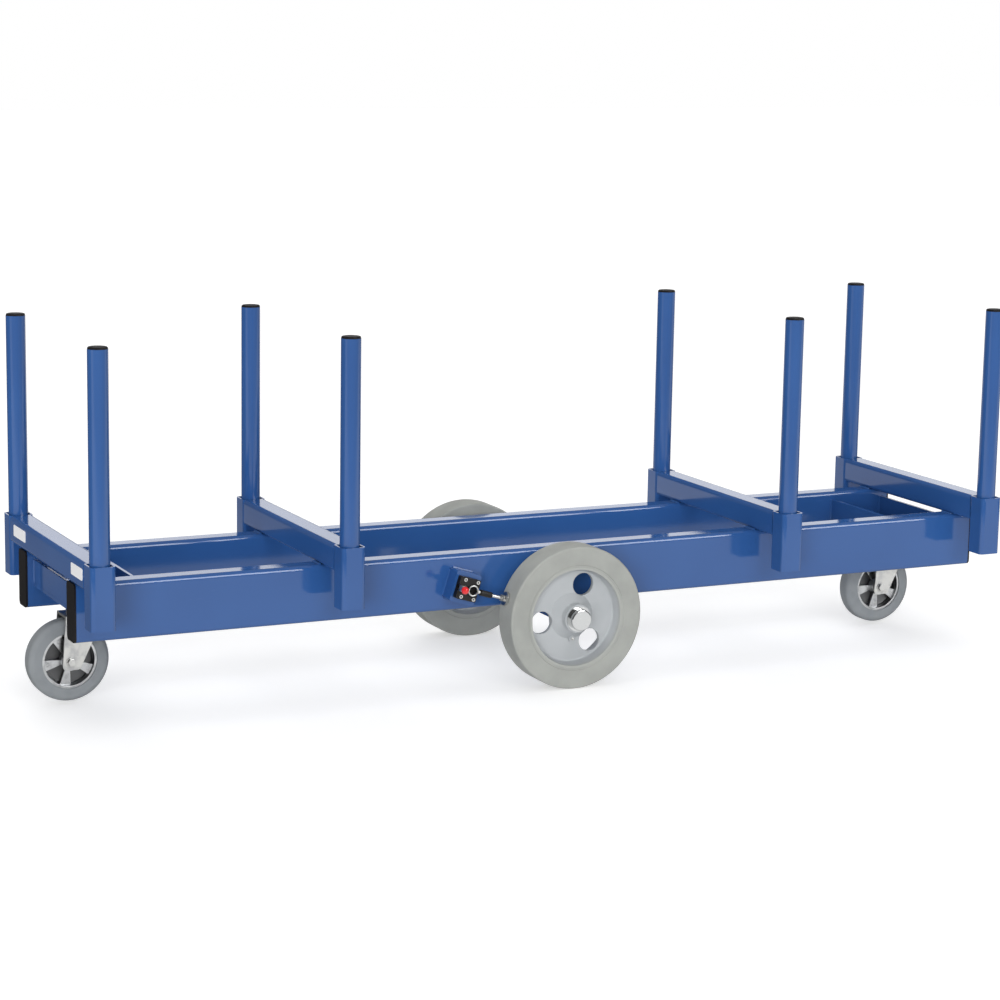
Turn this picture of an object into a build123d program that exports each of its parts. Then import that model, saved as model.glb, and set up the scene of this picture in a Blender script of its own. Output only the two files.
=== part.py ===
from build123d import *
from math import cos, radians, sin
import os

# A long material cart of welded steel: two rails lie lengthwise, four bearers
# cross them, and eight loose stakes stand in sockets at the bearers' ends.
# It rolls on two large middle wheels and a swivel castor under each end.
# Millimetres, +X along the cart, -Y is the front side with the brake, +Z up.
# The origin lies on the floor, under the middle of the cart.

# Clearances
fit_gap = 0.3
running_gap = 0.05
overrun = 2.0

# Rails: rectangular tube, with a plastic cap on each end
overall_length = 2500.0
rail_height = 140.0
rail_width = 60.0
rail_wall = 4.0
rail_corner = 11.0
rail_clear_width = 340.0
rail_cap_thickness = 5.0
rail_cap_plug_depth = 18.0
rail_cap_plug_wall = 3.0

# Bearers: tubes across the rails, at the ends and at two places between
bearer_width = 60.0
bearer_height = 65.0
bearer_wall = 4.0
bearer_corner = 10.0
inner_bearer_x = 606.0

# Sockets: upright square tubes with a floor, at both ends of every bearer
frame_width = 725.0
socket_side = 60.0
socket_wall = 4.0
socket_corner = 10.0
socket_length = 150.0
socket_floor = 5.0
socket_drain_radius = 6.0

# Stakes: loose round tubes with a plastic plug on top
stake_radius = 24.15
stake_wall = 3.2
stake_rise = 495.0
plug_head = 5.0
plug_head_inset = 0.8
plug_head_round = 3.5
plug_depth = 20.0
plug_wall = 2.5

# Cross plates, and the seats that the castors are bolted to
seat_thickness = 10.0
cross_plate_thickness = 8.0
cross_plate_drop = 20.0
cross_plate_setback = 21.0
cross_plate_pitch = 160.0

# Axle beam under the rails, with a round stub for each middle wheel
axle_side = 40.0
axle_overhang = 8.0
axle_collar_radius = 19.0
axle_stub_radius = 15.0
axle_stub_chamfer = 2.0

# Middle wheels: cast rim with round holes and a solid rubber tyre
wheel_radius = 180.0
wheel_standoff = 75.0
tyre_width = 75.0
tyre_shoulder = 5.0
tyre_bead = 5.0
tyre_bead_step = 1.5
rim_radius = 127.0
rim_lip = 5.0
rim_recess_radius = 116.0
rim_web = 12.0
rim_fillet = 5.0
rim_hole_radius = 28.5
rim_hole_pitch_radius = 83.5
rim_hole_count = 3
rim_hole_first_angle = 68.0
boss_radius = 58.0
boss_step = 4.0
hub_radius = 36.0
hub_cone_end = 26.0
hub_bore_radius = 26.0
hub_outer_reach = 45.0
hub_inner_reach = 43.0
grease_pad_radius = 8.0
grease_pad_height = 8.0
bearing_width = 16.0
bearing_setback = 2.0
hub_cap_flange_radius = 32.0
hub_cap_flange = 3.0
hub_cap_radius = 27.0
hub_cap_height = 20.0
hub_cap_wall = 2.0
hub_cap_round = 4.0
retainer_washer_radius = 23.0
retainer_washer = 3.0
retainer_nut_radius = 20.0
retainer_nut = 9.0
axle_stub_rise = 2.0

# Swivel castors under both ends, a little off the floor so that the cart rocks
castor_radius = 100.0
castor_lift = 8.0
castor_offset = 5.0
castor_trail = 50.0
castor_tyre_width = 50.0
castor_tyre_shoulder = 14.0
castor_rim_radius = 68.0
castor_rim_inset = 2.5
castor_rim_lip = 6.0
castor_rim_web = 8.0
castor_rim_fillet = 4.0
castor_hub_radius = 23.0
castor_hub_width = 60.0
castor_spoke_count = 5
castor_spoke_first_angle = -27.0
castor_spoke_root = 12.0
castor_spoke_tip = 28.0
castor_spoke_width = 32.0
castor_bearing_radius = 16.0
castor_bearing_width = 12.0
castor_sleeve_radius = 10.0
castor_bolt_radius = 6.0
castor_bolt_head_radius = 10.0
castor_bolt_head = 7.0
castor_plate_length = 140.0
castor_plate_width = 110.0
castor_plate_thickness = 6.0
castor_plate_corner = 10.0
castor_hole_spacing_x = 105.0
castor_hole_spacing_y = 80.0
castor_hole_radius = 5.5
mounting_bolt_radius = 5.0
mounting_bolt_head_radius = 9.0
mounting_bolt_head = 6.0
mounting_bolt_stickout = 3.0
race_radius = 47.0
race_inner_radius = 30.0
race_height = 18.0
king_pin_radius = 8.0
king_nut_radius = 13.0
king_nut = 8.0
fork_thickness = 5.0
fork_clear_width = 64.0
fork_wheel_gap = 6.0
fork_crown = 6.0
fork_crown_rear = 62.0
fork_crown_front = 50.0
fork_crown_corner = 14.0
fork_cup_radius = 50.0
fork_cup_height = 8.7
fork_cup_round = 4.0
fork_leg_half_width = 21.5
fork_leg_drop = 20.0
fork_leg_front = 34.0
fork_leg_round = 10.0

# Brake on the front rail: a hand lever draws a shoe back from the tyre
brake_slope = 17.0
bracket_length = 68.0
bracket_height = 78.0
bracket_depth = 44.0
bracket_wall = 5.0
bracket_corner = 6.0
brake_axis_height = 20.0
brake_base_length = 56.0
brake_base_width = 56.0
brake_base_height = 16.0
brake_base_floor = 4.0
brake_base_corner = 3.0
brake_channel = 14.0
barrel_start = 3.0
barrel_length = 32.0
barrel_radius = 7.5
barrel_web = 8.0
brake_screw_spacing_x = 35.0
brake_screw_spacing_y = 43.0
brake_screw_offset = 4.0
brake_screw_radius = 3.0
brake_screw_head_radius = 4.5
brake_screw_head = 5.0
brake_screw_socket_radius = 2.5
brake_screw_socket = 3.0
lever_pin_radius = 2.5
lever_pin_setback = 8.0
lever_crank = 12.0
lever_swing = 70.0
lever_lean = 12.0
lever_hinge_round = 4.0
lever_crank_round = 5.0
lever_neck_round = 6.0
lever_neck = 28.0
lever_cheek = 3.0
lever_yoke_depth = 22.0
lever_stem_radius = 3.5
lever_knob = 53.0
lever_knob_radius = 9.5
lever_knob_depth = 6.0
yoke_slack = 0.5
yoke_wall = 2.5
ring_setback = 14.0
ring_radius = 12.25
ring_wire = 1.75
yoke_neck_radius = 2.5
spindle_radius = 4.0
spindle_nut_radius = 7.5
spindle_nut = 6.5
shoe_gap = 1.0
shoe_standoff = 42.0
shoe_radius = 17.0
shoe_thickness = 5.0
shoe_boss_radius = 8.0
shoe_boss = 5.0

# Heights and places that follow from the sizes above
axle_z = wheel_radius
rail_bottom = axle_z + axle_side / 2
rail_top = rail_bottom + rail_height
deck = rail_top + bearer_height
rail_y = (rail_clear_width + rail_width) / 2
rail_face_y = rail_y + rail_width / 2
rail_end_x = overall_length / 2 - rail_cap_thickness
end_bearer_x = (overall_length - bearer_width) / 2
bearer_places = [-end_bearer_x, -inner_bearer_x, inner_bearer_x, end_bearer_x]
bearer_length = frame_width - 2 * socket_side
stake_y = (frame_width - socket_side) / 2
wheel_y = rail_face_y + wheel_standoff
hub_face_y = wheel_y + hub_outer_reach
castor_axle_z = castor_lift + castor_radius
fork_bottom = castor_axle_z + castor_radius + fork_wheel_gap
crown_top = fork_bottom + fork_crown
fork_top = crown_top + fork_cup_height
race_bottom = fork_top + fit_gap
castor_plate_bottom = race_bottom + race_height
seat_bottom = castor_plate_bottom + castor_plate_thickness
seat_top = seat_bottom + seat_thickness
cross_plate_top = rail_top - cross_plate_drop
end_plate_x = overall_length / 2 - cross_plate_setback - cross_plate_thickness / 2
seat_x = end_plate_x - cross_plate_pitch / 2
castor_king_x = seat_x + castor_offset
leg_outside = fork_clear_width / 2 + fork_thickness
lever_pin_x = lever_pin_setback - brake_base_length / 2
half_swing = lever_swing / 2
crank_travel = 2 * lever_crank * sin(radians(half_swing))
crank_low = lever_crank * cos(radians(half_swing))
lever_pin_z = brake_axis_height - (lever_crank + crank_low) / 2
barrel_end = brake_base_length / 2 + barrel_start + barrel_length
shoe_face_x = barrel_end + shoe_standoff
brake_reach = shoe_face_x + shoe_gap + wheel_radius
shoe_back_x = shoe_face_x - shoe_thickness
sides = {"near": -1, "far": 1}
ends = {"left": -1, "right": 1}

# The left castor trails out past the frame, so the middle of the whole cart
# lies a little to the left of the middle of its frame
left_reach = castor_king_x + castor_trail + castor_radius
centre_shift = (left_reach - overall_length / 2) / 2


def tube_section(width, height, wall, corner):
    inside_corner = corner - wall
    outside = RectangleRounded(width, height, corner)
    inside = RectangleRounded(width - 2 * wall, height - 2 * wall, inside_corner)
    return outside - inside


def upright(sketch, low, high):
    return Pos(0, 0, low) * extrude(sketch, amount=high - low)


def crosswise(sketch, low, high):
    # The sketch stands in the XZ plane and fills Y from low to high
    return Pos(0, high, 0) * extrude(Plane.XZ * sketch, amount=high - low)


def lengthwise(sketch, low, high):
    # The sketch stands in the YZ plane and fills X from low to high
    return Pos(low, 0, 0) * extrude(Plane.YZ * sketch, amount=high - low)


def hexagon(radius):
    return RegularPolygon(radius, side_count=6)


# Frame


def rail(side):
    section = tube_section(rail_width, rail_height, rail_wall, rail_corner)
    bar = lengthwise(section, -rail_end_x, rail_end_x)
    return Pos(0, side * rail_y, rail_bottom + rail_height / 2) * bar


def rail_end_cap():
    plate = RectangleRounded(rail_width, rail_height, rail_corner)
    plug_inset = rail_wall + fit_gap
    plug_section = tube_section(
        rail_width - 2 * plug_inset,
        rail_height - 2 * plug_inset,
        rail_cap_plug_wall,
        rail_corner - plug_inset,
    )
    cap = lengthwise(plate, 0, rail_cap_thickness)
    return cap + lengthwise(plug_section, -rail_cap_plug_depth, 0)


def rail_end_caps():
    cap = rail_end_cap()
    middle = rail_bottom + rail_height / 2
    right = [Pos(rail_end_x, side * rail_y, middle) * cap for side in sides.values()]
    left = [Rot(0, 0, 180) * placed for placed in right]
    return Compound(right + left)


def bearer(x):
    section = tube_section(bearer_width, bearer_height, bearer_wall, bearer_corner)
    bar = crosswise(section, -bearer_length / 2, bearer_length / 2)
    return Pos(x, 0, rail_top + bearer_height / 2) * bar


def stake_socket():
    outside = RectangleRounded(socket_side, socket_side, socket_corner)
    bore_side = socket_side - 2 * socket_wall
    bore = RectangleRounded(bore_side, bore_side, socket_corner - socket_wall)
    bottom = deck - socket_length
    socket = upright(outside, bottom, deck)
    socket -= upright(bore, bottom + socket_floor, deck + overrun)
    return socket - upright(Circle(socket_drain_radius), bottom - overrun, deck)


def stake_sockets(side):
    socket = stake_socket()
    return Compound([Pos(x, side * stake_y, 0) * socket for x in bearer_places])


def cross_plate(x):
    outline = Rectangle(cross_plate_thickness, rail_clear_width)
    return Pos(x, 0, 0) * upright(outline, seat_top, cross_plate_top)


def cross_plates():
    inner_plate_x = end_plate_x - cross_plate_pitch
    places = [-end_plate_x, -inner_plate_x, inner_plate_x, end_plate_x]
    return Compound([cross_plate(x) for x in places])


def castor_holes(radius, low, high):
    pattern = GridLocations(castor_hole_spacing_x, castor_hole_spacing_y, 2, 2)
    return upright(Sketch() + pattern * Circle(radius), low, high)


def castor_seat():
    length = cross_plate_pitch + cross_plate_thickness
    seat = upright(Rectangle(length, rail_clear_width), seat_bottom, seat_top)
    holes = castor_holes(castor_hole_radius, seat_bottom - overrun, seat_top + overrun)
    return Pos(seat_x, 0, 0) * seat - Pos(castor_king_x, 0, 0) * holes


def castor_seats():
    seat = castor_seat()
    return Compound([seat, Rot(0, 0, 180) * seat])


def axle_beam():
    shoulder = rail_face_y + axle_overhang
    collar_end = wheel_y - hub_inner_reach + bearing_setback - fit_gap
    nut_end = hub_face_y - bearing_setback + fit_gap + retainer_washer + retainer_nut
    stub_end = nut_end + axle_stub_rise
    beam = crosswise(Rectangle(axle_side, axle_side), -shoulder, shoulder)
    beam += crosswise(Circle(axle_collar_radius), -collar_end, collar_end)
    stub = crosswise(Circle(axle_stub_radius), -stub_end, stub_end)
    stub = chamfer(stub.edges(), axle_stub_chamfer)
    return Pos(0, 0, axle_z) * (beam + stub)


def wheel_retainers():
    washer_start = hub_face_y - bearing_setback + fit_gap
    nut_start = washer_start + retainer_washer
    washer_ring = Circle(retainer_washer_radius) - Circle(axle_stub_radius)
    nut_ring = hexagon(retainer_nut_radius) - Circle(axle_stub_radius)
    washer = crosswise(washer_ring, washer_start, nut_start)
    nut = crosswise(nut_ring, nut_start, nut_start + retainer_nut)
    far_side = [Pos(0, 0, axle_z) * washer, Pos(0, 0, axle_z) * nut]
    near_side = [Rot(0, 0, 180) * piece for piece in far_side]
    return Compound(far_side + near_side)


# Stakes


def stake():
    ring = Circle(stake_radius) - Circle(stake_radius - stake_wall)
    bottom = deck - socket_length + socket_floor + fit_gap
    return upright(ring, bottom, deck + stake_rise)


def stake_plug():
    head_radius = stake_radius - plug_head_inset
    plug_radius = stake_radius - stake_wall - fit_gap
    tube_top = deck + stake_rise
    head = upright(Circle(head_radius), tube_top, tube_top + plug_head)
    head = fillet(head.edges().group_by(Axis.Z)[-1], plug_head_round)
    ring = Circle(plug_radius) - Circle(plug_radius - plug_wall)
    return head + upright(ring, tube_top - plug_depth, tube_top)


# Middle wheels: built with the hub's outer end towards -Y, on an axis at 0


def mirrored_profile(half_points):
    # Each point is a radius and a reach to either side of the wheel's middle
    other_half = [(radius, -reach) for radius, reach in reversed(half_points)]
    return Polygon(*half_points, *other_half, align=None)


def middle_tyre():
    half = tyre_width / 2
    bead_half = half - tyre_bead_step
    bead_radius = rim_radius + tyre_bead
    profile = mirrored_profile(
        [
            (rim_radius, bead_half),
            (bead_radius, bead_half),
            (bead_radius + tyre_bead_step, half),
            (wheel_radius, half),
        ]
    )
    tread_corners = profile.vertices().sort_by(Axis.X)[-2:]
    return revolve(fillet(tread_corners, tyre_shoulder), axis=Axis.Y)


def middle_rim_profile():
    half = tyre_width / 2 - tyre_bead_step
    web = rim_web / 2
    seat_to_boss = [
        (rim_radius, half),
        (rim_radius - rim_lip, half),
        (rim_recess_radius, web),
        (boss_radius, web),
        (boss_radius - boss_step, web + boss_step),
        (hub_radius, hub_cone_end),
    ]
    hub_inner_side = [(hub_radius, hub_inner_reach), (hub_bore_radius, hub_inner_reach)]
    hub_outer_side = [(hub_bore_radius, -hub_outer_reach), (hub_radius, -hub_outer_reach)]
    boss_to_seat = [(radius, -reach) for radius, reach in reversed(seat_to_boss)]
    points = seat_to_boss + hub_inner_side + hub_outer_side + boss_to_seat
    return Polygon(*points, align=None)


def middle_rim():
    profile = middle_rim_profile()
    web_corners = profile.vertices().sort_by(lambda corner: abs(corner.Y))[:4]
    recess_corners = web_corners.sort_by(Axis.X)[-2:]
    rim = revolve(fillet(recess_corners, rim_fillet), axis=Axis.Y)
    holes = PolarLocations(rim_hole_pitch_radius, rim_hole_count, rim_hole_first_angle)
    rim -= crosswise(Sketch() + holes * Circle(rim_hole_radius), -rim_web, rim_web)
    pad_end = rim_web / 2 + grease_pad_height
    pad = crosswise(Circle(grease_pad_radius), -pad_end, 0)
    return rim + Pos(0, 0, -boss_radius) * pad


def middle_bearings():
    ring = Circle(hub_bore_radius) - Circle(axle_stub_radius + running_gap)
    outer_start = bearing_setback - hub_outer_reach
    inner_end = hub_inner_reach - bearing_setback
    outer = crosswise(ring, outer_start, outer_start + bearing_width)
    inner = crosswise(ring, inner_end - bearing_width, inner_end)
    return Compound([outer, inner])


def hub_cap():
    face = -hub_outer_reach
    flange_end = face - hub_cap_flange
    cap_end = face - hub_cap_height
    shell = crosswise(Circle(hub_cap_radius), cap_end, face)
    shell = fillet(shell.edges().group_by(Axis.Y)[0], hub_cap_round)
    shell += crosswise(Circle(hub_cap_flange_radius), flange_end, face)
    hollow_radius = hub_cap_radius - hub_cap_wall
    hollow = crosswise(Circle(hollow_radius), cap_end + hub_cap_wall, face + overrun)
    return shell - hollow


def place_middle_wheel(shape, side):
    turned = shape if side < 0 else Rot(0, 0, 180) * shape
    return Pos(0, side * wheel_y, axle_z) * turned


# Castors: built with the swivel axis at 0 and the wheel trailing towards -X


def castor_top_plate():
    outline = RectangleRounded(castor_plate_length, castor_plate_width, castor_plate_corner)
    plate = upright(outline, castor_plate_bottom, seat_bottom)
    plate -= castor_holes(castor_hole_radius, castor_plate_bottom - overrun, seat_top)
    return plate - upright(Circle(king_pin_radius), 0, seat_top)


def mounting_bolts():
    head_start = seat_top
    nut_start = castor_plate_bottom - mounting_bolt_head
    pattern = GridLocations(castor_hole_spacing_x, castor_hole_spacing_y, 2, 2)
    bolt = upright(hexagon(mounting_bolt_head_radius), head_start, head_start + mounting_bolt_head)
    bolt += upright(Circle(mounting_bolt_radius), nut_start - mounting_bolt_stickout, seat_top)
    bolt += upright(hexagon(mounting_bolt_head_radius), nut_start, castor_plate_bottom)
    return [place * bolt for place in pattern]


def swivel_bearing():
    ring = Circle(race_radius) - Circle(race_inner_radius)
    return upright(ring, race_bottom, castor_plate_bottom)


def king_pin():
    nut_top = fork_bottom - fit_gap
    pin = upright(Circle(king_pin_radius), nut_top, seat_bottom)
    return pin + upright(hexagon(king_nut_radius), nut_top - king_nut, nut_top)


def fork_leg(side):
    axle_x = -castor_trail
    foot_z = castor_axle_z - fork_leg_drop
    outline = Polygon(
        (axle_x - fork_leg_half_width, foot_z),
        (axle_x + fork_leg_half_width, foot_z),
        (fork_leg_front, crown_top),
        (-fork_crown_rear, crown_top),
        align=None,
    )
    foot = outline.vertices().sort_by(Axis.Y)[:2]
    plate = fillet(foot, fork_leg_round)
    middle = side * (leg_outside - fork_thickness / 2)
    return crosswise(plate, middle - fork_thickness / 2, middle + fork_thickness / 2)


def castor_fork():
    crown_middle = (fork_crown_front - fork_crown_rear) / 2
    crown_length = fork_crown_front + fork_crown_rear
    outline = RectangleRounded(crown_length, 2 * leg_outside, fork_crown_corner)
    fork = Pos(crown_middle, 0, 0) * upright(outline, fork_bottom, crown_top)
    cup = upright(Circle(fork_cup_radius), fork_bottom, fork_top)
    fork += fillet(cup.edges().group_by(Axis.Z)[-1], fork_cup_round)
    fork += fork_leg(-1) + fork_leg(1)
    fork -= upright(Circle(king_pin_radius + running_gap), 0, seat_top)
    axle_hole = crosswise(Circle(castor_bolt_radius), -castor_radius, castor_radius)
    return fork - Pos(-castor_trail, 0, castor_axle_z) * axle_hole


def castor_axle():
    leg_inside = fork_clear_width / 2
    head_end = leg_outside + castor_bolt_head
    axle = crosswise(Circle(castor_sleeve_radius), -leg_inside, leg_inside)
    axle += crosswise(Circle(castor_bolt_radius), -head_end, head_end)
    for low, high in ((-head_end, -leg_outside), (leg_outside, head_end)):
        axle += crosswise(hexagon(castor_bolt_head_radius), low, high)
    return axle


def castor_bearings():
    ring = Circle(castor_bearing_radius) - Circle(castor_sleeve_radius + running_gap)
    end = castor_hub_width / 2
    front = crosswise(ring, -end, castor_bearing_width - end)
    back = crosswise(ring, end - castor_bearing_width, end)
    return Compound([front, back])


def castor_spokes(inner_radius, outer_radius):
    root = castor_spoke_root / 2
    tip = castor_spoke_tip / 2
    outline = Polygon(
        (inner_radius, -root),
        (outer_radius, -tip),
        (outer_radius, tip),
        (inner_radius, root),
        align=None,
    )
    half = castor_spoke_width / 2
    step = 360 / castor_spoke_count
    spokes = Part()
    for number in range(castor_spoke_count):
        turned = Rot(0, 0, castor_spoke_first_angle + number * step) * outline
        spokes += crosswise(turned, -half, half)
    return spokes


def castor_rim():
    half = castor_tyre_width / 2 - castor_rim_inset
    web = castor_rim_web / 2
    lip_radius = castor_rim_radius - castor_rim_lip
    profile = mirrored_profile(
        [
            (castor_rim_radius, half),
            (lip_radius, half),
            (lip_radius - castor_rim_fillet, web),
            (castor_hub_radius, web),
            (castor_hub_radius, castor_hub_width / 2),
            (castor_bearing_radius, castor_hub_width / 2),
        ]
    )
    rim = revolve(profile, axis=Axis.Y)
    return rim + castor_spokes(castor_hub_radius - overrun, lip_radius + overrun)


def castor_tyre():
    half = castor_tyre_width / 2
    profile = mirrored_profile([(castor_rim_radius, half), (castor_radius, half)])
    tread_corners = profile.vertices().sort_by(Axis.X)[-2:]
    return revolve(fillet(tread_corners, castor_tyre_shoulder), axis=Axis.Y)


def place_castor(shape, end):
    return Pos(end * castor_king_x, 0, 0) * shape


def place_castor_wheel(shape, end):
    return place_castor(Pos(-castor_trail, 0, castor_axle_z) * shape, end)


# Brake: built flat, +X towards the tyre and +Z away from the rail


def brake_place():
    slope = radians(brake_slope)
    origin = (
        -brake_reach * cos(slope),
        -rail_face_y - bracket_depth,
        axle_z + brake_reach * sin(slope),
    )
    return Plane(origin, x_dir=(cos(slope), 0, -sin(slope)), z_dir=(0, -1, 0)).location


def screw_places():
    pattern = GridLocations(brake_screw_spacing_x, brake_screw_spacing_y, 2, 2)
    return [Pos(brake_screw_offset, 0, 0) * place for place in pattern]


def screw_shanks(radius, low, high):
    return [place * upright(Circle(radius), low, high) for place in screw_places()]


def brake_bracket():
    outline = RectangleRounded(bracket_length, bracket_height, bracket_corner)
    box = upright(outline, -bracket_depth, 0)
    hollow = RectangleRounded(
        bracket_length - 2 * bracket_wall,
        bracket_height - 2 * bracket_wall,
        bracket_corner / 2,
    )
    box -= upright(hollow, -bracket_depth - overrun, -bracket_wall)
    return box - screw_shanks(brake_screw_radius, -bracket_wall - overrun, overrun)


def brake_base():
    half = brake_base_length / 2
    outline = RectangleRounded(brake_base_length, brake_base_width, brake_base_corner)
    base = upright(outline, 0, brake_base_height)
    channel = Rectangle(brake_base_length + 2 * overrun, brake_channel)
    base -= upright(channel, brake_base_floor, brake_base_height + overrun)
    barrel_middle = Pos(half + barrel_start, 0, brake_axis_height)
    barrel = barrel_middle * lengthwise(Circle(barrel_radius), 0, barrel_length)
    web_length = barrel_start + barrel_length
    web = Pos(half - overrun + web_length / 2, 0, 0) * Rectangle(web_length, barrel_web)
    base += barrel + upright(web, 0, brake_axis_height - spindle_radius - overrun)
    bore = Circle(spindle_radius + running_gap)
    base -= barrel_middle * lengthwise(bore, -barrel_length, 2 * barrel_length)
    pin_hole = crosswise(Circle(lever_pin_radius), -brake_base_width, brake_base_width)
    base -= Pos(lever_pin_x, 0, lever_pin_z) * pin_hole
    base -= screw_shanks(brake_screw_radius, -overrun, brake_base_height)
    head_start = brake_base_height - brake_screw_head
    return base - screw_shanks(brake_screw_head_radius, head_start, brake_base_height + overrun)


def brake_screws():
    top = brake_base_height
    head_start = top - brake_screw_head
    screw = upright(Circle(brake_screw_radius), -bracket_wall - overrun, head_start)
    screw += upright(Circle(brake_screw_head_radius), head_start, top)
    screw -= upright(hexagon(brake_screw_socket_radius), top - brake_screw_socket, top + overrun)
    return Compound([place * screw for place in screw_places()])


def lever_pin():
    half = brake_base_width / 2
    return Pos(lever_pin_x, 0, lever_pin_z) * crosswise(Circle(lever_pin_radius), -half, half)


def lever_frame():
    # The hinge at rest: +Z runs up the leaning stem
    return Pos(lever_pin_x, 0, lever_pin_z) * Rot(0, -lever_lean, 0)


def lever_outline():
    crank_angle = radians(half_swing + lever_lean)
    crank_place = Pos(lever_crank * sin(crank_angle), lever_crank * cos(crank_angle), 0)
    circles = Circle(lever_hinge_round) + crank_place * Circle(lever_crank_round)
    circles += Pos(0, lever_neck, 0) * Circle(lever_neck_round)
    return make_hull(circles.edges()), crank_place


def brake_lever():
    outline, crank_place = lever_outline()
    half = brake_channel / 2 - fit_gap
    gap = half - lever_cheek
    lever = crosswise(outline, -half, half)
    lever -= crosswise(Circle(lever_yoke_depth), -gap, gap)
    lever += crosswise(crank_place * Circle(lever_pin_radius), -half, half)
    lever -= crosswise(Circle(lever_pin_radius + running_gap), -brake_channel, brake_channel)
    lever += upright(Circle(lever_stem_radius), lever_neck, lever_knob)
    return lever_frame() * lever


def lever_knob_ball():
    start = lever_knob - lever_knob_depth
    ball = Pos(0, 0, lever_knob) * Sphere(lever_knob_radius)
    ball &= upright(Circle(lever_knob_radius), start, lever_knob + lever_knob_radius)
    return lever_frame() * (ball - upright(Circle(lever_stem_radius), 0, lever_knob))


def yoke_slot():
    height = lever_crank - crank_low + 2 * (lever_pin_radius + yoke_slack)
    return 2 * (lever_pin_radius + yoke_slack), height


def brake_plunger():
    slot_width, slot_height = yoke_slot()
    yoke_x = lever_pin_x + crank_travel / 2
    ring_x = brake_base_length / 2 - ring_setback - ring_wire
    thickness = brake_channel - 2 * (lever_cheek + 2 * fit_gap + running_gap)
    eye = Rectangle(slot_width + 2 * yoke_wall, slot_height + 2 * yoke_wall)
    eye = fillet(eye.vertices(), yoke_wall)
    eye -= Rectangle(slot_width, slot_height)
    yoke = Pos(yoke_x, 0, 0) * crosswise(eye, -thickness / 2, thickness / 2)
    neck_start = yoke_x + slot_width / 2 + yoke_wall / 2
    yoke += lengthwise(Circle(yoke_neck_radius), neck_start, ring_x - ring_radius)
    yoke += Pos(ring_x, 0, 0) * Torus(ring_radius, ring_wire)
    yoke += lengthwise(Circle(spindle_radius), ring_x + ring_radius, shoe_back_x)
    return Pos(0, 0, brake_axis_height) * yoke


def spindle_nut_piece():
    end = shoe_back_x - shoe_boss
    ring = hexagon(spindle_nut_radius) - Circle(spindle_radius)
    return Pos(0, 0, brake_axis_height) * lengthwise(ring, end - spindle_nut, end)


def brake_shoe():
    boss_ring = Circle(shoe_boss_radius) - Circle(spindle_radius)
    shoe = lengthwise(Circle(shoe_radius), shoe_back_x, shoe_face_x + shoe_thickness)
    shoe += lengthwise(boss_ring, shoe_back_x - shoe_boss, shoe_back_x)
    swept = upright(Circle(wheel_radius + shoe_gap), -wheel_radius, wheel_radius)
    return Pos(0, 0, brake_axis_height) * (shoe - Pos(brake_reach, 0, 0) * swept)


# Writing the pieces


def save(node, shape):
    placed = Pos(centre_shift, 0, 0) * shape
    export_step(placed, "parts/" + node + ".step")
    print(node, "solids:", len(placed.solids()))


def save_frame():
    for name, side in sides.items():
        save("rail_" + name, rail(side))
        save("stake_sockets_" + name, stake_sockets(side))
    save("rail_end_caps", rail_end_caps())
    for number, x in enumerate(bearer_places, start=1):
        save("bearer_" + str(number), bearer(x))
    save("cross_plates", cross_plates())
    save("castor_seats", castor_seats())
    save("axle_beam", axle_beam())
    save("wheel_retainers", wheel_retainers())


def save_stakes():
    for name, side in sides.items():
        for number, x in enumerate(bearer_places, start=1):
            place = Pos(x, side * stake_y, 0)
            ending = name + "_" + str(number)
            save("stake_" + ending, place * stake())
            save("stake_plug_" + ending, place * stake_plug())


def save_middle_wheels():
    pieces = {
        "_tyre": middle_tyre(),
        "_rim": middle_rim(),
        "_bearings": middle_bearings(),
        "_hub_cap": hub_cap(),
    }
    for name, side in sides.items():
        for ending, piece in pieces.items():
            save("wheel_" + name + ending, place_middle_wheel(piece, side))


def save_castors():
    both = list(ends.values())
    bolts = mounting_bolts()
    save("castor_top_plates", Compound([place_castor(castor_top_plate(), end) for end in both]))
    save("castor_bolts", Compound([place_castor(bolt, end) for end in both for bolt in bolts]))
    save("swivel_bearings", Compound([place_castor(swivel_bearing(), end) for end in both]))
    save("king_pins", Compound([place_castor(king_pin(), end) for end in both]))
    for name, end in ends.items():
        start = "castor_" + name
        save(start + "_fork", place_castor(castor_fork(), end))
        save(start + "_axle", place_castor_wheel(castor_axle(), end))
        save(start + "_rim", place_castor_wheel(castor_rim(), end))
        save(start + "_tyre", place_castor_wheel(castor_tyre(), end))
        save(start + "_bearings", place_castor_wheel(castor_bearings(), end))


def save_brake():
    place = brake_place()
    save("brake_bracket", place * brake_bracket())
    save("brake_base", place * brake_base())
    save("brake_screws", place * brake_screws())
    save("brake_lever_pin", place * lever_pin())
    save("brake_lever", place * brake_lever())
    save("brake_lever_knob", place * lever_knob_ball())
    save("brake_plunger", place * brake_plunger())
    save("brake_plunger_nut", place * spindle_nut_piece())
    save("brake_shoe", place * brake_shoe())


os.makedirs("parts", exist_ok=True)
save_frame()
save_stakes()
save_middle_wheels()
save_castors()
save_brake()
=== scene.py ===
from math import cos, pi, radians, sin

import bmesh
import bpy
from mathutils import Matrix, Vector


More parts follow.
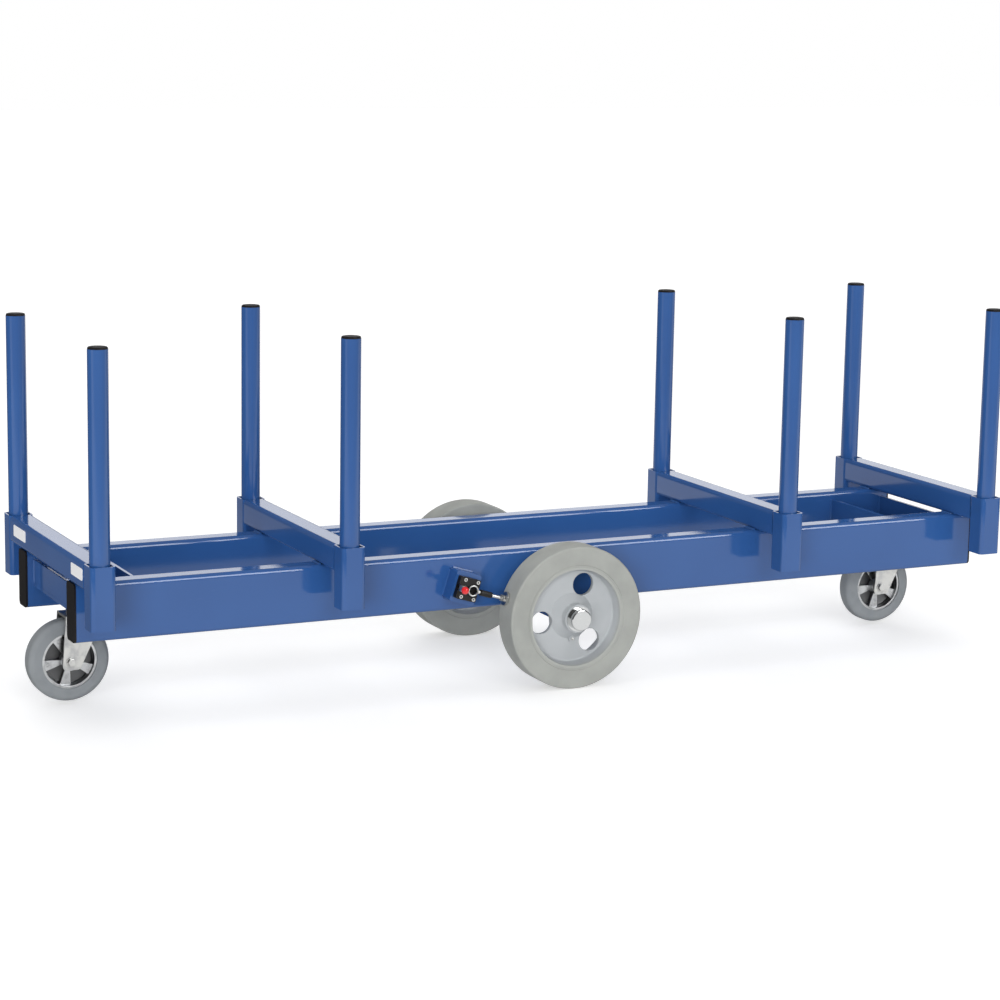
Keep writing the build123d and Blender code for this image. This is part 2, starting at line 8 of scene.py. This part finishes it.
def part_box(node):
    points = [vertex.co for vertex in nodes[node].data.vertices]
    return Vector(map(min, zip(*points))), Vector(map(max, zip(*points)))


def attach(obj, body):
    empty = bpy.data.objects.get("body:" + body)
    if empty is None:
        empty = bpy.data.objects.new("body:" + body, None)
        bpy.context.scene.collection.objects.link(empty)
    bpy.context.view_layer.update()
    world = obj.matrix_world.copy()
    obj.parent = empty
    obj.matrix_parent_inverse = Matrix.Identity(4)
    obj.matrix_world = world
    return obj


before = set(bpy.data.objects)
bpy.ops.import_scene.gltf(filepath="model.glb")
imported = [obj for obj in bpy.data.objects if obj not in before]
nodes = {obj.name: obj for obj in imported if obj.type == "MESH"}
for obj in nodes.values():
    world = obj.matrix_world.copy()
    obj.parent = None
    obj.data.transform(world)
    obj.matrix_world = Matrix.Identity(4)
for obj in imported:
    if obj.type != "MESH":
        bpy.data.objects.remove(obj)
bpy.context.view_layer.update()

scene = bpy.context.scene

# Frame: rails, bearers, sockets, cross plates, castor seats, axle beam and brake bracket.
# Stock steel tube and flat bar, welded together and then powder-coated in one glossy blue.
# The coat has a faint orange peel, a slight clouding and fine scratches along the cart.


class Wire:
    """A socket in a node tree. A sum written with it adds Math nodes."""

    def __init__(self, tree, socket):
        self.tree = tree
        self.socket = socket

    def maths(self, operation, *values):
        made = self.tree.node("ShaderNodeMath", {"operation": operation}, *values)
        return Wire(self.tree, made.outputs[0])

    def __add__(self, other):
        return self.maths("ADD", self, other)

    def __radd__(self, other):
        return self.maths("ADD", other, self)

    def __sub__(self, other):
        return self.maths("SUBTRACT", self, other)

    def __rsub__(self, other):
        return self.maths("SUBTRACT", other, self)

    def __mul__(self, other):
        return self.maths("MULTIPLY", self, other)

    def __rmul__(self, other):
        return self.maths("MULTIPLY", other, self)

    def __abs__(self):
        return self.maths("ABSOLUTE", self)


class Tree:
    """A node tree, and the calls that add nodes to it."""

    def __init__(self, node_tree, coordinates):
        self.nodes = node_tree.nodes
        self.links = node_tree.links
        place = self.node("ShaderNodeTexCoord")
        self.place = Wire(self, place.outputs[coordinates])

    def node(self, kind, settings=None, *values, **named):
        made = self.nodes.new(kind)
        for setting, value in (settings or {}).items():
            setattr(made, setting, value)
        for number, value in enumerate(values):
            self.feed(made.inputs[number], value)
        for name, value in named.items():
            self.feed(made.inputs[name], value)
        return made

    def feed(self, socket, value):
        if isinstance(value, Wire):
            self.links.new(value.socket, socket)
        else:
            socket.default_value = value

    def axis(self, name):
        made = self.node("ShaderNodeSeparateXYZ", None, self.place)
        return Wire(self, made.outputs[name])

    def stretched(self, x, y, z):
        made = self.node("ShaderNodeMapping", None, Vector=self.place, Scale=(x, y, z))
        return Wire(self, made.outputs[0])

    def noise(self, scale, detail=3.0, roughness=0.5, place=None):
        made = self.node(
            "ShaderNodeTexNoise", None,
            Vector=place or self.place, Scale=scale, Detail=detail, Roughness=roughness,
        )
        return Wire(self, made.outputs[0])

    def rise(self, value, low, high, start=0.0, end=1.0):
        """Start below low, end above high, smooth between."""
        made = self.node(
            "ShaderNodeMapRange", {"interpolation_type": "SMOOTHSTEP"}, value, low, high, start, end
        )
        return Wire(self, made.outputs[0])

    def mix(self, factor, first, second):
        """The first colour where the factor is 0, the second where it is 1."""
        made = self.node("ShaderNodeMix", {"data_type": "RGBA"}, factor)
        for socket, value in ((made.inputs[6], first), (made.inputs[7], second)):
            self.feed(socket, value if isinstance(value, Wire) else (*value, 1.0))
        return Wire(self, made.outputs[2])


class Finish(Tree):
    """A material and its shader."""

    def __init__(self, name, colour, roughness, metallic=0.0, specular=0.5, coat=0.0):
        self.material = bpy.data.materials.new(name)
        self.material.use_nodes = True
        super().__init__(self.material.node_tree, "Object")
        self.shader = self.nodes["Principled BSDF"]
        self.feed(self.shader.inputs["Base Color"], (*colour, 1.0))
        self.feed(self.shader.inputs["Roughness"], roughness)
        self.feed(self.shader.inputs["Metallic"], metallic)
        self.feed(self.shader.inputs["Specular IOR Level"], specular)
        self.feed(self.shader.inputs["Coat Weight"], coat)

    def colour(self, value):
        self.feed(self.shader.inputs["Base Color"], value)

    def roughness(self, value):
        self.feed(self.shader.inputs["Roughness"], value)

    def relief(self, height, depth, strength):
        made = self.node("ShaderNodeBump", None, Height=height, Distance=depth, Strength=strength)
        self.feed(self.shader.inputs["Normal"], Wire(self, made.outputs["Normal"]))


def dress(finish, *names):
    """Puts one finish on each of these solids."""
    for name in names:
        mesh = nodes[name].data
        mesh.materials.clear()
        mesh.materials.append(finish.material)


ease_angle = radians(35.0)
weld_reach = 0.00001


def ease(width, *names):
    """Rounds the sharp edges of nodes, as paint, plating and tumbling do."""
    for name in names:
        weld = nodes[name].modifiers.new("weld", "WELD")
        weld.merge_threshold = weld_reach
        bevel = nodes[name].modifiers.new("bevel", "BEVEL")
        bevel.width = width
        bevel.segments = 2
        bevel.limit_method = "ANGLE"
        bevel.angle_limit = ease_angle


blue = (0.028, 0.096, 0.292)
blue_deep = (0.025, 0.087, 0.270)
blue_scratched = (0.055, 0.130, 0.350)
frame_ease = 0.0008

blue_paint = Finish("blue_powder_coat", blue, 0.16)
cloud = blue_paint.noise(3.1, detail=2.0)
streak = blue_paint.noise(60.0, 4.0, 0.7, place=blue_paint.stretched(0.12, 1.0, 1.0))
scratched = blue_paint.rise(streak, 0.67, 0.76) * 0.3
tone = blue_paint.mix(blue_paint.rise(cloud, 0.35, 0.65), blue, blue_deep)
blue_paint.colour(blue_paint.mix(scratched, tone, blue_scratched))
blue_paint.roughness(0.07 + 0.06 * cloud + 0.25 * scratched)
blue_paint.relief(blue_paint.noise(420.0, detail=2.0), depth=0.0001, strength=0.4)

bearer_names = ["bearer_1", "bearer_2", "bearer_3", "bearer_4"]
socket_names = ["stake_sockets_near", "stake_sockets_far"]
plate_names = ["cross_plates", "castor_seats", "brake_bracket"]
dress(blue_paint, "rail_near", "rail_far", "axle_beam", *bearer_names, *socket_names, *plate_names)
ease(frame_ease, *socket_names, *plate_names)

# Welds: rippled beads of weld metal that hold the frame together, under the same blue coat.
# They lie beside the bearers on the rails, under the bearers' ends, at the cross plates, the
# castor seats and the axle beam, and round the brake bracket.

bead_radius = 0.0038
bead_pitch = 0.0016
bead_dip_share = 0.86
bead_sides = 8
crease_angle = radians(40.0)


def lay_bead(shape, start, end):
    """A straight bead, drawn out ring by ring with a dip at every second one."""
    start = Vector(start)
    path = Vector(end) - start
    turn = path.to_track_quat("Z", "Y").to_matrix().to_4x4()
    place = Matrix.Translation(start) @ turn
    ring = bmesh.ops.create_circle(
        shape, cap_ends=True, segments=bead_sides, radius=bead_radius * bead_dip_share, matrix=place
    )
    top = ring["verts"][0].link_faces[0]
    steps = 2 * round(path.length / bead_pitch / 2)
    for step in range(1, steps + 1):
        grown = bmesh.ops.extrude_face_region(shape, geom=[top])["geom"]
        if step > 1:
            shape.faces.remove(top)
        top = next(item for item in grown if isinstance(item, bmesh.types.BMFace))
        share = 1 / bead_dip_share if step % 2 else bead_dip_share
        middle = start + path * ((step - 1) / steps)
        for vertex in top.verts:
            vertex.co = middle + (vertex.co - middle) * share + path / steps


def piece(name, shape, finish, body):
    """A finished mesh as an object with its material, riding on its body."""
    bmesh.ops.recalc_face_normals(shape, faces=shape.faces)
    mesh = bpy.data.meshes.new(name)
    shape.to_mesh(mesh)
    shape.free()
    mesh.materials.append(finish.material)
    mesh.shade_smooth()
    mesh.set_sharp_from_angle(angle=crease_angle)
    made = bpy.data.objects.new(name, mesh)
    scene.collection.objects.link(made)
    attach(made, body)
    return made


rail_low, rail_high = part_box("rail_far")
rail_bottom, rail_top = rail_low[2], rail_high[2]
rail_inner, rail_outer = rail_low[1], rail_high[1]
bearer_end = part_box("bearer_1")[1][1]
edge_round = 0.010
beads = bmesh.new()

for name in bearer_names:
    low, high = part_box(name)
    for side in (-1, 1):
        for x in (low[0], high[0]):
            if rail_low[0] < x < rail_high[0]:
                start = (x, side * (rail_inner + edge_round), rail_top)
                lay_bead(beads, start, (x, side * (rail_outer - edge_round), rail_top))
        corner = (low[0] + edge_round, side * bearer_end, rail_top)
        lay_bead(beads, corner, (high[0] - edge_round, side * bearer_end, rail_top))

plate_low, plate_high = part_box("cross_plates")
seat_low, seat_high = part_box("castor_seats")
plate_thickness = 0.008
plate_pitch = 0.160
for end in (-1, 1):
    outermost = plate_high[0] if end > 0 else plate_low[0]
    for setback in (0.0, plate_thickness, plate_pitch, plate_pitch + plate_thickness):
        x = outermost - end * setback
        for side in (-1, 1):
            foot = (x, side * rail_inner, plate_low[2])
            lay_bead(beads, foot, (x, side * rail_inner, plate_high[2]))
    middle = outermost - end * (plate_pitch + plate_thickness) / 2
    reach = plate_pitch / 2 - plate_thickness
    for side in (-1, 1):
        for z in (seat_low[2], seat_high[2]):
            start = (middle - reach, side * rail_inner, z)
            lay_bead(beads, start, (middle + reach, side * rail_inner, z))

axle_low, axle_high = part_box("axle_beam")
axle_middle = (axle_low[0] + axle_high[0]) / 2
axle_half = 0.020
for side in (-1, 1):
    for x in (axle_middle - axle_half, axle_middle + axle_half):
        start = (x, side * rail_inner, rail_bottom)
        lay_bead(beads, start, (x, side * rail_outer, rail_bottom))

brake_slope = radians(17.0)
brake_along = Vector((cos(brake_slope), 0.0, -sin(brake_slope)))
brake_up = Vector((sin(brake_slope), 0.0, cos(brake_slope)))
brake_out = Vector((0.0, -1.0, 0.0))
bracket_low, bracket_high = (Vector(corner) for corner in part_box("brake_bracket"))
bracket_foot = (bracket_low + bracket_high) / 2
bracket_foot.y = -rail_outer
bracket_length = 0.068
bracket_height = 0.078
bracket_corner = 0.006
for side in (-1, 1):
    along = brake_along * (bracket_length / 2 - bracket_corner)
    across = brake_up * (side * bracket_height / 2)
    lay_bead(beads, bracket_foot + across - along, bracket_foot + across + along)
    along = brake_along * (side * bracket_length / 2)
    across = brake_up * (bracket_height / 2 - bracket_corner)
    lay_bead(beads, bracket_foot + along - across, bracket_foot + along + across)

weld_beads = piece("frame_weld_beads", beads, blue_paint, "frame")

# Labels: two bare plates of white plastic with rounded corners, punched from sheet.
# They are glued to the outer face of the left bearer, one near each end.

label_height = 0.028
label_thickness = 0.0012
label_corner = 0.004
label_z = 0.377
label_ends = ((0.168, 0.268), (-0.297, -0.211))

label_white = Finish("label_plastic", (0.93, 0.93, 0.94), 0.35)
label_white.roughness(0.3 + 0.15 * label_white.noise(40.0))

labels = bmesh.new()
for start, stop in label_ends:
    size = Matrix.Diagonal((label_thickness * 2, stop - start, label_height, 1.0))
    place = Matrix.Translation((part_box("bearer_1")[0][0], (start + stop) / 2, label_z))
    plate = bmesh.ops.create_cube(labels, size=1.0, matrix=place @ size)
    edges = {edge for vertex in plate["verts"] for edge in vertex.link_edges}
    corners = [
        edge for edge in edges if abs((edge.verts[0].co - edge.verts[1].co).x) > label_thickness
    ]
    bmesh.ops.bevel(
        labels, geom=corners, offset=label_corner, segments=4, profile=0.5, affect="EDGES", material=-1
    )
piece("label_plates", labels, label_white, "frame")

# Stakes: loose lengths of round steel tube in the same blue coat, dropped into the sockets.
# Pressed-in plugs of black moulded polyethylene close their tops, and caps of it the rails.

stake_names = [f"{side}_{number}" for side in ("near", "far") for number in (1, 2, 3, 4)]
dress(blue_paint, *["stake_" + name for name in stake_names])

black = (0.010, 0.009, 0.010)
black_dusty = (0.022, 0.021, 0.021)
cap_ease = 0.0015

black_plastic = Finish("black_moulded_plastic", black, 0.5, specular=0.2)
dust = black_plastic.noise(22.0, detail=4.0)
dusty = black_plastic.rise(dust, 0.45, 0.8) * 0.4
black_plastic.colour(black_plastic.mix(dusty, black, black_dusty))
black_plastic.roughness(0.42 + 0.2 * dust)
black_plastic.relief(black_plastic.noise(900.0), depth=0.0001, strength=0.5)
dress(black_plastic, "rail_end_caps", *["stake_plug_" + name for name in stake_names])
ease(cap_ease, "rail_end_caps")

# Middle wheels: solid grey rubber tyres, pressed onto cast-iron rims in a heated mould.
# The rims are painted light grey over the sand-cast skin, and their lips are coated with the
# rubber. A chromed cap closes each hub.

rubber = (0.352, 0.362, 0.342)
rubber_dark = (0.310, 0.320, 0.302)

grey_rubber = Finish("grey_solid_rubber", rubber, 0.6, specular=0.3)
mottle = grey_rubber.noise(14.0, detail=4.0)
grey_rubber.colour(grey_rubber.mix(grey_rubber.rise(mottle, 0.35, 0.7), rubber, rubber_dark))
grey_rubber.roughness(0.52 + 0.16 * mottle)
grey_rubber.relief(grey_rubber.noise(700.0, detail=2.0), depth=0.00015, strength=0.4)
dress(grey_rubber, "wheel_near_tyre", "wheel_far_tyre")

tyre_low, tyre_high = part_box("wheel_near_tyre")
wheel_x = (tyre_low[0] + tyre_high[0]) / 2
wheel_z = (tyre_low[2] + tyre_high[2]) / 2
lip_radius = 0.119
rim_radius = 0.123
rim_ease = 0.0012
cast_grey = (0.42, 0.44, 0.455)
cast_grey_dark = (0.37, 0.39, 0.405)

rim_paint = Finish("painted_cast_iron", cast_grey, 0.4)
patch = rim_paint.noise(9.0)
across = rim_paint.axis("X") - wheel_x
upward = rim_paint.axis("Z") - wheel_z
hub_distance_squared = across * across + upward * upward
lip = rim_paint.rise(hub_distance_squared, lip_radius * lip_radius, rim_radius * rim_radius)
painted = rim_paint.mix(rim_paint.rise(patch, 0.4, 0.7), cast_grey, cast_grey_dark)
rim_paint.colour(rim_paint.mix(lip, painted, rubber))
rim_paint.roughness(0.34 + 0.18 * patch)
rim_paint.relief(rim_paint.noise(260.0, 5.0, 0.65), depth=0.0004, strength=0.45)
dress(rim_paint, "wheel_near_rim", "wheel_far_rim")
ease(rim_ease, "wheel_near_rim", "wheel_far_rim")

chrome = Finish("chrome_plate", (0.55, 0.56, 0.56), 0.09, metallic=1.0)
wiped = chrome.noise(180.0, 3.0, 0.6, place=chrome.stretched(1.0, 4.0, 1.0))
chrome.roughness(0.06 + 0.09 * wiped)
dress(chrome, "wheel_near_hub_cap", "wheel_far_hub_cap")

# Fittings: castor forks, plates, pins, axles, the brake's steel parts, and every screw and nut.
# They are pressed or turned from steel and zinc-plated, bright with a faint cloudy bloom.

zinc_bright = (0.66, 0.66, 0.64)
zinc_dull = (0.48, 0.485, 0.49)
fork_ease = 0.0007
plate_ease = 0.0006
fork_names = ["castor_left_fork", "castor_right_fork", "castor_left_axle", "castor_right_axle"]
plated_names = ["castor_top_plates", "castor_bolts", "wheel_retainers", "brake_lever"]

zinc = Finish("zinc_plated_steel", zinc_bright, 0.3, metallic=1.0)
bloom = zinc.noise(38.0, 5.0, 0.6)
zinc.colour(zinc.mix(zinc.rise(bloom, 0.4, 0.7), zinc_bright, zinc_dull))
zinc.roughness(0.26 + 0.16 * bloom)
zinc.relief(zinc.noise(300.0), depth=0.0001, strength=0.3)
dress(zinc, "king_pins", *fork_names, *plated_names)
dress(zinc, "brake_screws", "brake_lever_pin", "brake_plunger", "brake_plunger_nut", "brake_shoe")
ease(fork_ease, *fork_names)
ease(plate_ease, *plated_names)

# Grease nipples: small ball-ended fittings, turned from steel and zinc-plated.
# One is screwed into the pad below the hub on each middle wheel's rim.

nipple_outline = [
    (0.0, -0.001), (0.0034, -0.001), (0.0034, 0.0028), (0.0017, 0.0034),
    (0.0017, 0.0046), (0.0025, 0.0056), (0.0025, 0.0066), (0.0012, 0.0078), (0.0, 0.0078),
]
nipple_drop = 0.058
nipple_face = 0.014
nipple_steps = 16
seam_reach = 0.00001


def middle_of(name):
    low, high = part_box(name)
    return (Vector(low) + Vector(high)) / 2


def turned(shape, outline, centre, axis, steps):
    """A profile of (radius, height) points, turned full circle about an axis."""
    across = axis.orthogonal().normalized()
    corners = [shape.verts.new(centre + across * radius + axis * height) for radius, height in outline]
    lines = [shape.edges.new(pair) for pair in zip(corners, corners[1:])]
    bmesh.ops.spin(
        shape, geom=corners + lines, cent=centre, axis=axis, angle=2 * pi, steps=steps, use_merge=True
    )
    bmesh.ops.remove_doubles(shape, verts=shape.verts, dist=seam_reach)


for side, outward in (("near", -1), ("far", 1)):
    place = middle_of("wheel_" + side + "_tyre") + Vector((0.0, outward * nipple_face, -nipple_drop))
    nipple = bmesh.new()
    turned(nipple, nipple_outline, place, Vector((0.0, outward, 0.0)), nipple_steps)
    nipple_piece = piece("grease_nipple_" + side, nipple, zinc, "wheel_" + side)

# Bearings: hardened and ground steel rings under a thin film of grease.
# They are pressed into the hubs and the castor heads, where hardly any of them shows.

ring_steel = Finish("bearing_steel", (0.33, 0.33, 0.34), 0.28, metallic=1.0)
ring_steel.roughness(0.2 + 0.2 * ring_steel.noise(90.0))
dress(
    ring_steel,
    "swivel_bearings", "wheel_near_bearings", "wheel_far_bearings",
    "castor_left_bearings", "castor_right_bearings",
)

# Castor wheels: die-cast aluminium rims with five flared spokes and vulcanised grey tyres.
# The spokes are machined bright. The pockets between them are painted dark, partly for their duller
# casting skin and partly as painted shade deep between the spokes.

spoke_bright = (0.58, 0.59, 0.60)
spoke_dull = (0.36, 0.37, 0.38)
# Pocket colour: the casting skin's dull tone, darkened further as painted shade.
pocket_skin_and_shade = (0.135, 0.137, 0.140)
pocket_face = 0.0045
spoke_face = 0.0120
castor_rim_ease = 0.0008

aluminium = Finish("die_cast_aluminium", (0.66, 0.67, 0.68), 0.25, metallic=1.0)
flow = aluminium.noise(55.0, 5.0, 0.6)
# Near the wheel's middle plane the colour turns dark: painted shade in the pockets, over the casting
# skin's duller tone.
spoke_face_share = aluminium.rise(abs(aluminium.axis("Y")), pocket_face, spoke_face)
spoke = aluminium.mix(aluminium.rise(flow, 0.4, 0.75), spoke_bright, spoke_dull)
aluminium.colour(aluminium.mix(spoke_face_share, pocket_skin_and_shade, spoke))
aluminium.roughness(0.42 - 0.18 * spoke_face_share + 0.12 * flow)
aluminium.relief(aluminium.noise(240.0, detail=4.0), depth=0.0002, strength=0.4)
dress(aluminium, "castor_left_rim", "castor_right_rim")
ease(castor_rim_ease, "castor_left_rim", "castor_right_rim")

castor_grey = (0.245, 0.262, 0.275)
castor_grey_dark = (0.215, 0.231, 0.243)

castor_rubber = Finish("castor_rubber", castor_grey, 0.5, specular=0.4)
smear = castor_rubber.noise(24.0, detail=4.0)
smeared = castor_rubber.rise(smear, 0.35, 0.7)
castor_rubber.colour(castor_rubber.mix(smeared, castor_grey, castor_grey_dark))
castor_rubber.roughness(0.42 + 0.2 * smear)
castor_rubber.relief(castor_rubber.noise(800.0, detail=2.0), depth=0.0001, strength=0.4)
dress(castor_rubber, "castor_left_tyre", "castor_right_tyre")

# Castor trimmings: a ring cast round the ejector mark near each spoke's tip, and a flanged
# washer of zinc-plated steel under both ends of the axle bolt.

mark_outline = [
    (0.0032, 0.0), (0.0037, 0.0006), (0.0047, 0.0006), (0.0052, 0.0), (0.0042, -0.0006), (0.0032, 0.0),
]
mark_pitch_radius = 0.053
mark_face = 0.016
mark_steps = 12
spoke_count = 5
spoke_first_angle = radians(-27.0)
washer_outline = [
    (0.0105, -0.0002), (0.0105, 0.0012), (0.0126, 0.0012), (0.0132, 0.0006), (0.0132, -0.0002),
    (0.0105, -0.0002),
]
washer_face = 0.037
washer_steps = 24

for end in ("left", "right"):
    centre = middle_of("castor_" + end + "_tyre")
    marks = bmesh.new()
    washers = bmesh.new()
    for outward in (-1, 1):
        axis = Vector((0.0, outward, 0.0))
        for number in range(spoke_count):
            angle = spoke_first_angle + number * 2 * pi / spoke_count
            reach = Vector((cos(angle), 0.0, sin(angle))) * mark_pitch_radius
            turned(marks, mark_outline, centre + reach + axis * mark_face, axis, mark_steps)
        turned(washers, washer_outline, centre + axis * washer_face, axis, washer_steps)
    mark_rings = piece("castor_marks_" + end, marks, aluminium, "castor_" + end + "_wheel")
    washer_pair = piece("castor_washers_" + end, washers, zinc, "castor_" + end + "_swivel")

# Brake: the clamp base is a steel casting with a rough black coat, screwed to the bracket.
# The knob is a ball of red moulded plastic on the lever's end.

black_coat_colour = (0.008, 0.007, 0.007)
knob_red = (0.68, 0.012, 0.016)
base_ease = 0.0005

black_coat = Finish("black_coated_casting", black_coat_colour, 0.5, specular=0.3)
black_coat.relief(black_coat.noise(500.0, detail=4.0), depth=0.0002, strength=0.5)
dress(black_coat, "brake_base")
ease(base_ease, "brake_base", "brake_screws")

red_plastic = Finish("red_moulded_plastic", knob_red, 0.25, coat=0.3)
red_plastic.roughness(0.2 + 0.15 * red_plastic.noise(60.0))
dress(red_plastic, "brake_lever_knob")

# Screw sockets: the hexagon sockets of the brake's four screws.
# A near-black plug stands in each, a little below the screw's face, as painted shade in the socket.

# Near black: painted shade for the hollows of the screw sockets.
socket_shade = Finish("painted_socket_shade", (0.010, 0.009, 0.008), 0.3)
socket_radius = 0.0024
shade_drop = 0.0020
shade_depth = 0.0012
screw_half_length = 0.0175
screw_half_height = 0.0215

screw_middle = middle_of("brake_screws")
screw_middle.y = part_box("brake_screws")[0][1]
hexagon_turn = brake_out.to_track_quat("Z", "X").to_matrix().to_4x4()
plugs = bmesh.new()
for along in (-screw_half_length, screw_half_length):
    for upward in (-screw_half_height, screw_half_height):
        place = screw_middle + brake_along * along + brake_up * upward - brake_out * shade_drop
        bmesh.ops.create_cone(
            plugs, cap_ends=True, segments=6, radius1=socket_radius, radius2=socket_radius,
            depth=shade_depth, matrix=Matrix.Translation(place) @ hexagon_turn,
        )
piece("screw_socket_shade", plugs, socket_shade, "frame")

# Spindle thread: a ridge rolled into the brake's zinc-plated plunger.
# It winds along the plunger behind the lock nut.

thread_pitch = 0.0015
thread_root = 0.0039
thread_crest = 0.00425
thread_half_width = 0.0005
thread_start = -0.0137
thread_turns = 7
steps_per_turn = 14

thread_foot = middle_of("brake_plunger_nut") + brake_along * thread_start
thread = bmesh.new()
ridge = [
    thread.verts.new(thread_foot + brake_up * radius + brake_along * along)
    for radius, along in (
        (thread_root, -thread_half_width), (thread_root, thread_half_width), (thread_crest, 0.0)
    )
]
bmesh.ops.spin(
    thread, geom=[thread.faces.new(ridge)], cent=thread_foot, axis=brake_along,
    dvec=brake_along * thread_pitch / steps_per_turn,
    angle=2 * pi * thread_turns, steps=steps_per_turn * thread_turns,
)
thread_piece = piece("spindle_thread", thread, zinc, "brake_plunger")

# Camera: at the photograph's place, 7 m off, in front of the cart and past its left end.
# Its place and its turn were fitted to the photograph's edges and corners, in metres from the
# floor under the middle of the cart.

lens_pixels = 2729.62
picture_pixels = 1000
film_width = 36.0
camera_place = Vector((-3.02566, -6.18416, 1.70375))
camera_right = Vector((0.90102688, -0.43342286, 0.01718063))
camera_up = Vector((0.06434173, 0.17271797, 0.98286756))
camera_back = camera_right.cross(camera_up)

camera_data = bpy.data.cameras.new("photo_camera")
camera_data.sensor_width = film_width
camera_data.lens = lens_pixels * film_width / picture_pixels
camera = bpy.data.objects.new("photo_camera", camera_data)
camera_turn = Matrix((camera_right, camera_up, camera_back)).transposed().to_4x4()
camera.matrix_world = Matrix.Translation(camera_place) @ camera_turn
scene.collection.objects.link(camera)
scene.camera = camera

# Floor: a plain white studio floor that keeps the soft shadow under the cart.
# The paint mirrors it bright in front of the cart and behind its right half, and dark under
# the cart and behind its left end, as in the photograph.

floor_reach = 30.0
floor_albedo = 0.72
floor_seen = 0.46
floor_bounce = 0.12
mirror_far = 0.50
mirror_front = 1.20
mirror_under = 0.15
mirror_behind = 1.0
front_brightens = (-3.5, -1.8)
front_ends = (-0.6, 0.2)
back_brightens = (1.1, 1.6)
right_brightens = (-2.0, 0.0)

floor_shape = bmesh.new()
bmesh.ops.create_grid(floor_shape, x_segments=1, y_segments=1, size=floor_reach)
floor_mesh = bpy.data.meshes.new("studio_floor")
floor_shape.to_mesh(floor_mesh)
floor_shape.free()
floor = bpy.data.objects.new("studio_floor", floor_mesh)
scene.collection.objects.link(floor)


def seen_by(tree):
    """Wires that are 1 for the camera's rays, for soft bounces and for mirror images."""
    path = tree.node("ShaderNodeLightPath")
    names = ("Is Camera Ray", "Is Diffuse Ray", "Is Glossy Ray")
    return [Wire(tree, path.outputs[name]) for name in names]


floor_white = (floor_albedo, floor_albedo, floor_albedo)
studio_floor = Finish("studio_floor", floor_white, 0.9, specular=0.0)
camera_ray, bounce_ray, mirror_ray = seen_by(studio_floor)
studio_floor.colour(studio_floor.mix(mirror_ray, floor_white, (0.0, 0.0, 0.0)))
along = studio_floor.axis("X")
across = studio_floor.axis("Y")
ahead_level = studio_floor.rise(across, *front_brightens, mirror_far, mirror_front)
lit_behind = studio_floor.rise(along, *right_brightens) * studio_floor.rise(across, *back_brightens)
behind_level = mirror_under + lit_behind * (mirror_behind - mirror_under)
past_front = studio_floor.rise(across, *front_ends)
mirror_level = ahead_level - past_front * (mirror_front - behind_level)
glow_level = camera_ray * floor_seen + bounce_ray * floor_bounce + mirror_ray * mirror_level
glow = studio_floor.node("ShaderNodeEmission", None, Color=(1.0, 1.0, 1.0, 1.0), Strength=glow_level)
lit_surface = Wire(studio_floor, studio_floor.shader.outputs["BSDF"])
own_glow = Wire(studio_floor, glow.outputs["Emission"])
surface = studio_floor.node("ShaderNodeAddShader", None, lit_surface, own_glow)
output = studio_floor.nodes["Material Output"]
studio_floor.feed(output.inputs["Surface"], Wire(studio_floor, surface.outputs[0]))
floor_mesh.materials.append(studio_floor.material)

# Light: broad soft lamps from overhead, from the front, low from the front left, and from
# behind, in a pale room. The paint mirrors the room's back wall in its level faces, and a
# bright strip in front in the rounded upper edges of the rails.


def soft_light(name, direction, strength, spread):
    lamp = bpy.data.lights.new(name, "SUN")
    lamp.energy = strength * pi
    lamp.angle = radians(spread)
    holder = bpy.data.objects.new(name, lamp)
    holder.matrix_world = Vector(direction).to_track_quat("Z", "Y").to_matrix().to_4x4()
    holder.visible_glossy = False
    scene.collection.objects.link(holder)


soft_light("overhead_light", (0.0, 0.1, 1.0), strength=0.19, spread=45.0)
soft_light("front_light", (-0.05, -0.86, 0.44), strength=0.26, spread=35.0)
soft_light("low_light", (-0.58, -0.78, 0.16), strength=0.50, spread=25.0)
soft_light("back_light", (0.25, 0.85, 0.45), strength=0.28, spread=45.0)

room_glow = 0.41
ceiling_low = 0.14
ceiling_high = 0.45
ceiling_brightens = (0.45, 0.95)
wall_level = 1.3
wall_behind = (0.25, 0.65)
wall_left = (0.0, 0.2)
wall_foot = (0.10, 0.15)
wall_head = (0.24, 0.31)
strip_level = 9.0
strip_ahead = (-0.60, -0.45)
strip_left = (0.12, 0.22)
strip_right = (0.56, 0.66)
strip_foot = (0.14, 0.22)
strip_head = (0.60, 0.70)

world = bpy.data.worlds.new("studio_room")
world.use_nodes = True
scene.world = world
room = Tree(world.node_tree, "Generated")
rightward, backward, upward = (room.axis(name) for name in ("X", "Y", "Z"))


def band(value, start, stop):
    """Rises over the first range and falls again over the second."""
    return room.rise(value, *start) * room.rise(value, *stop, 1.0, 0.0)


behind = room.rise(backward, *wall_behind) * room.rise(rightward, *wall_left)
ahead = room.rise(backward, *strip_ahead, 1.0, 0.0) * band(rightward, strip_left, strip_right)
wall = behind * band(upward, wall_foot, wall_head) * wall_level
strip = ahead * band(upward, strip_foot, strip_head) * strip_level
ceiling = room.rise(upward, *ceiling_brightens, ceiling_low, ceiling_high)
camera_ray, bounce_ray, mirror_ray = seen_by(room)
room_level = camera_ray + bounce_ray * room_glow + mirror_ray * (wall + strip + ceiling)
room.feed(room.nodes["Background"].inputs["Color"], (1.0, 1.0, 1.0, 1.0))
room.feed(room.nodes["Background"].inputs["Strength"], room_level)

scene.view_settings.view_transform = "Standard"
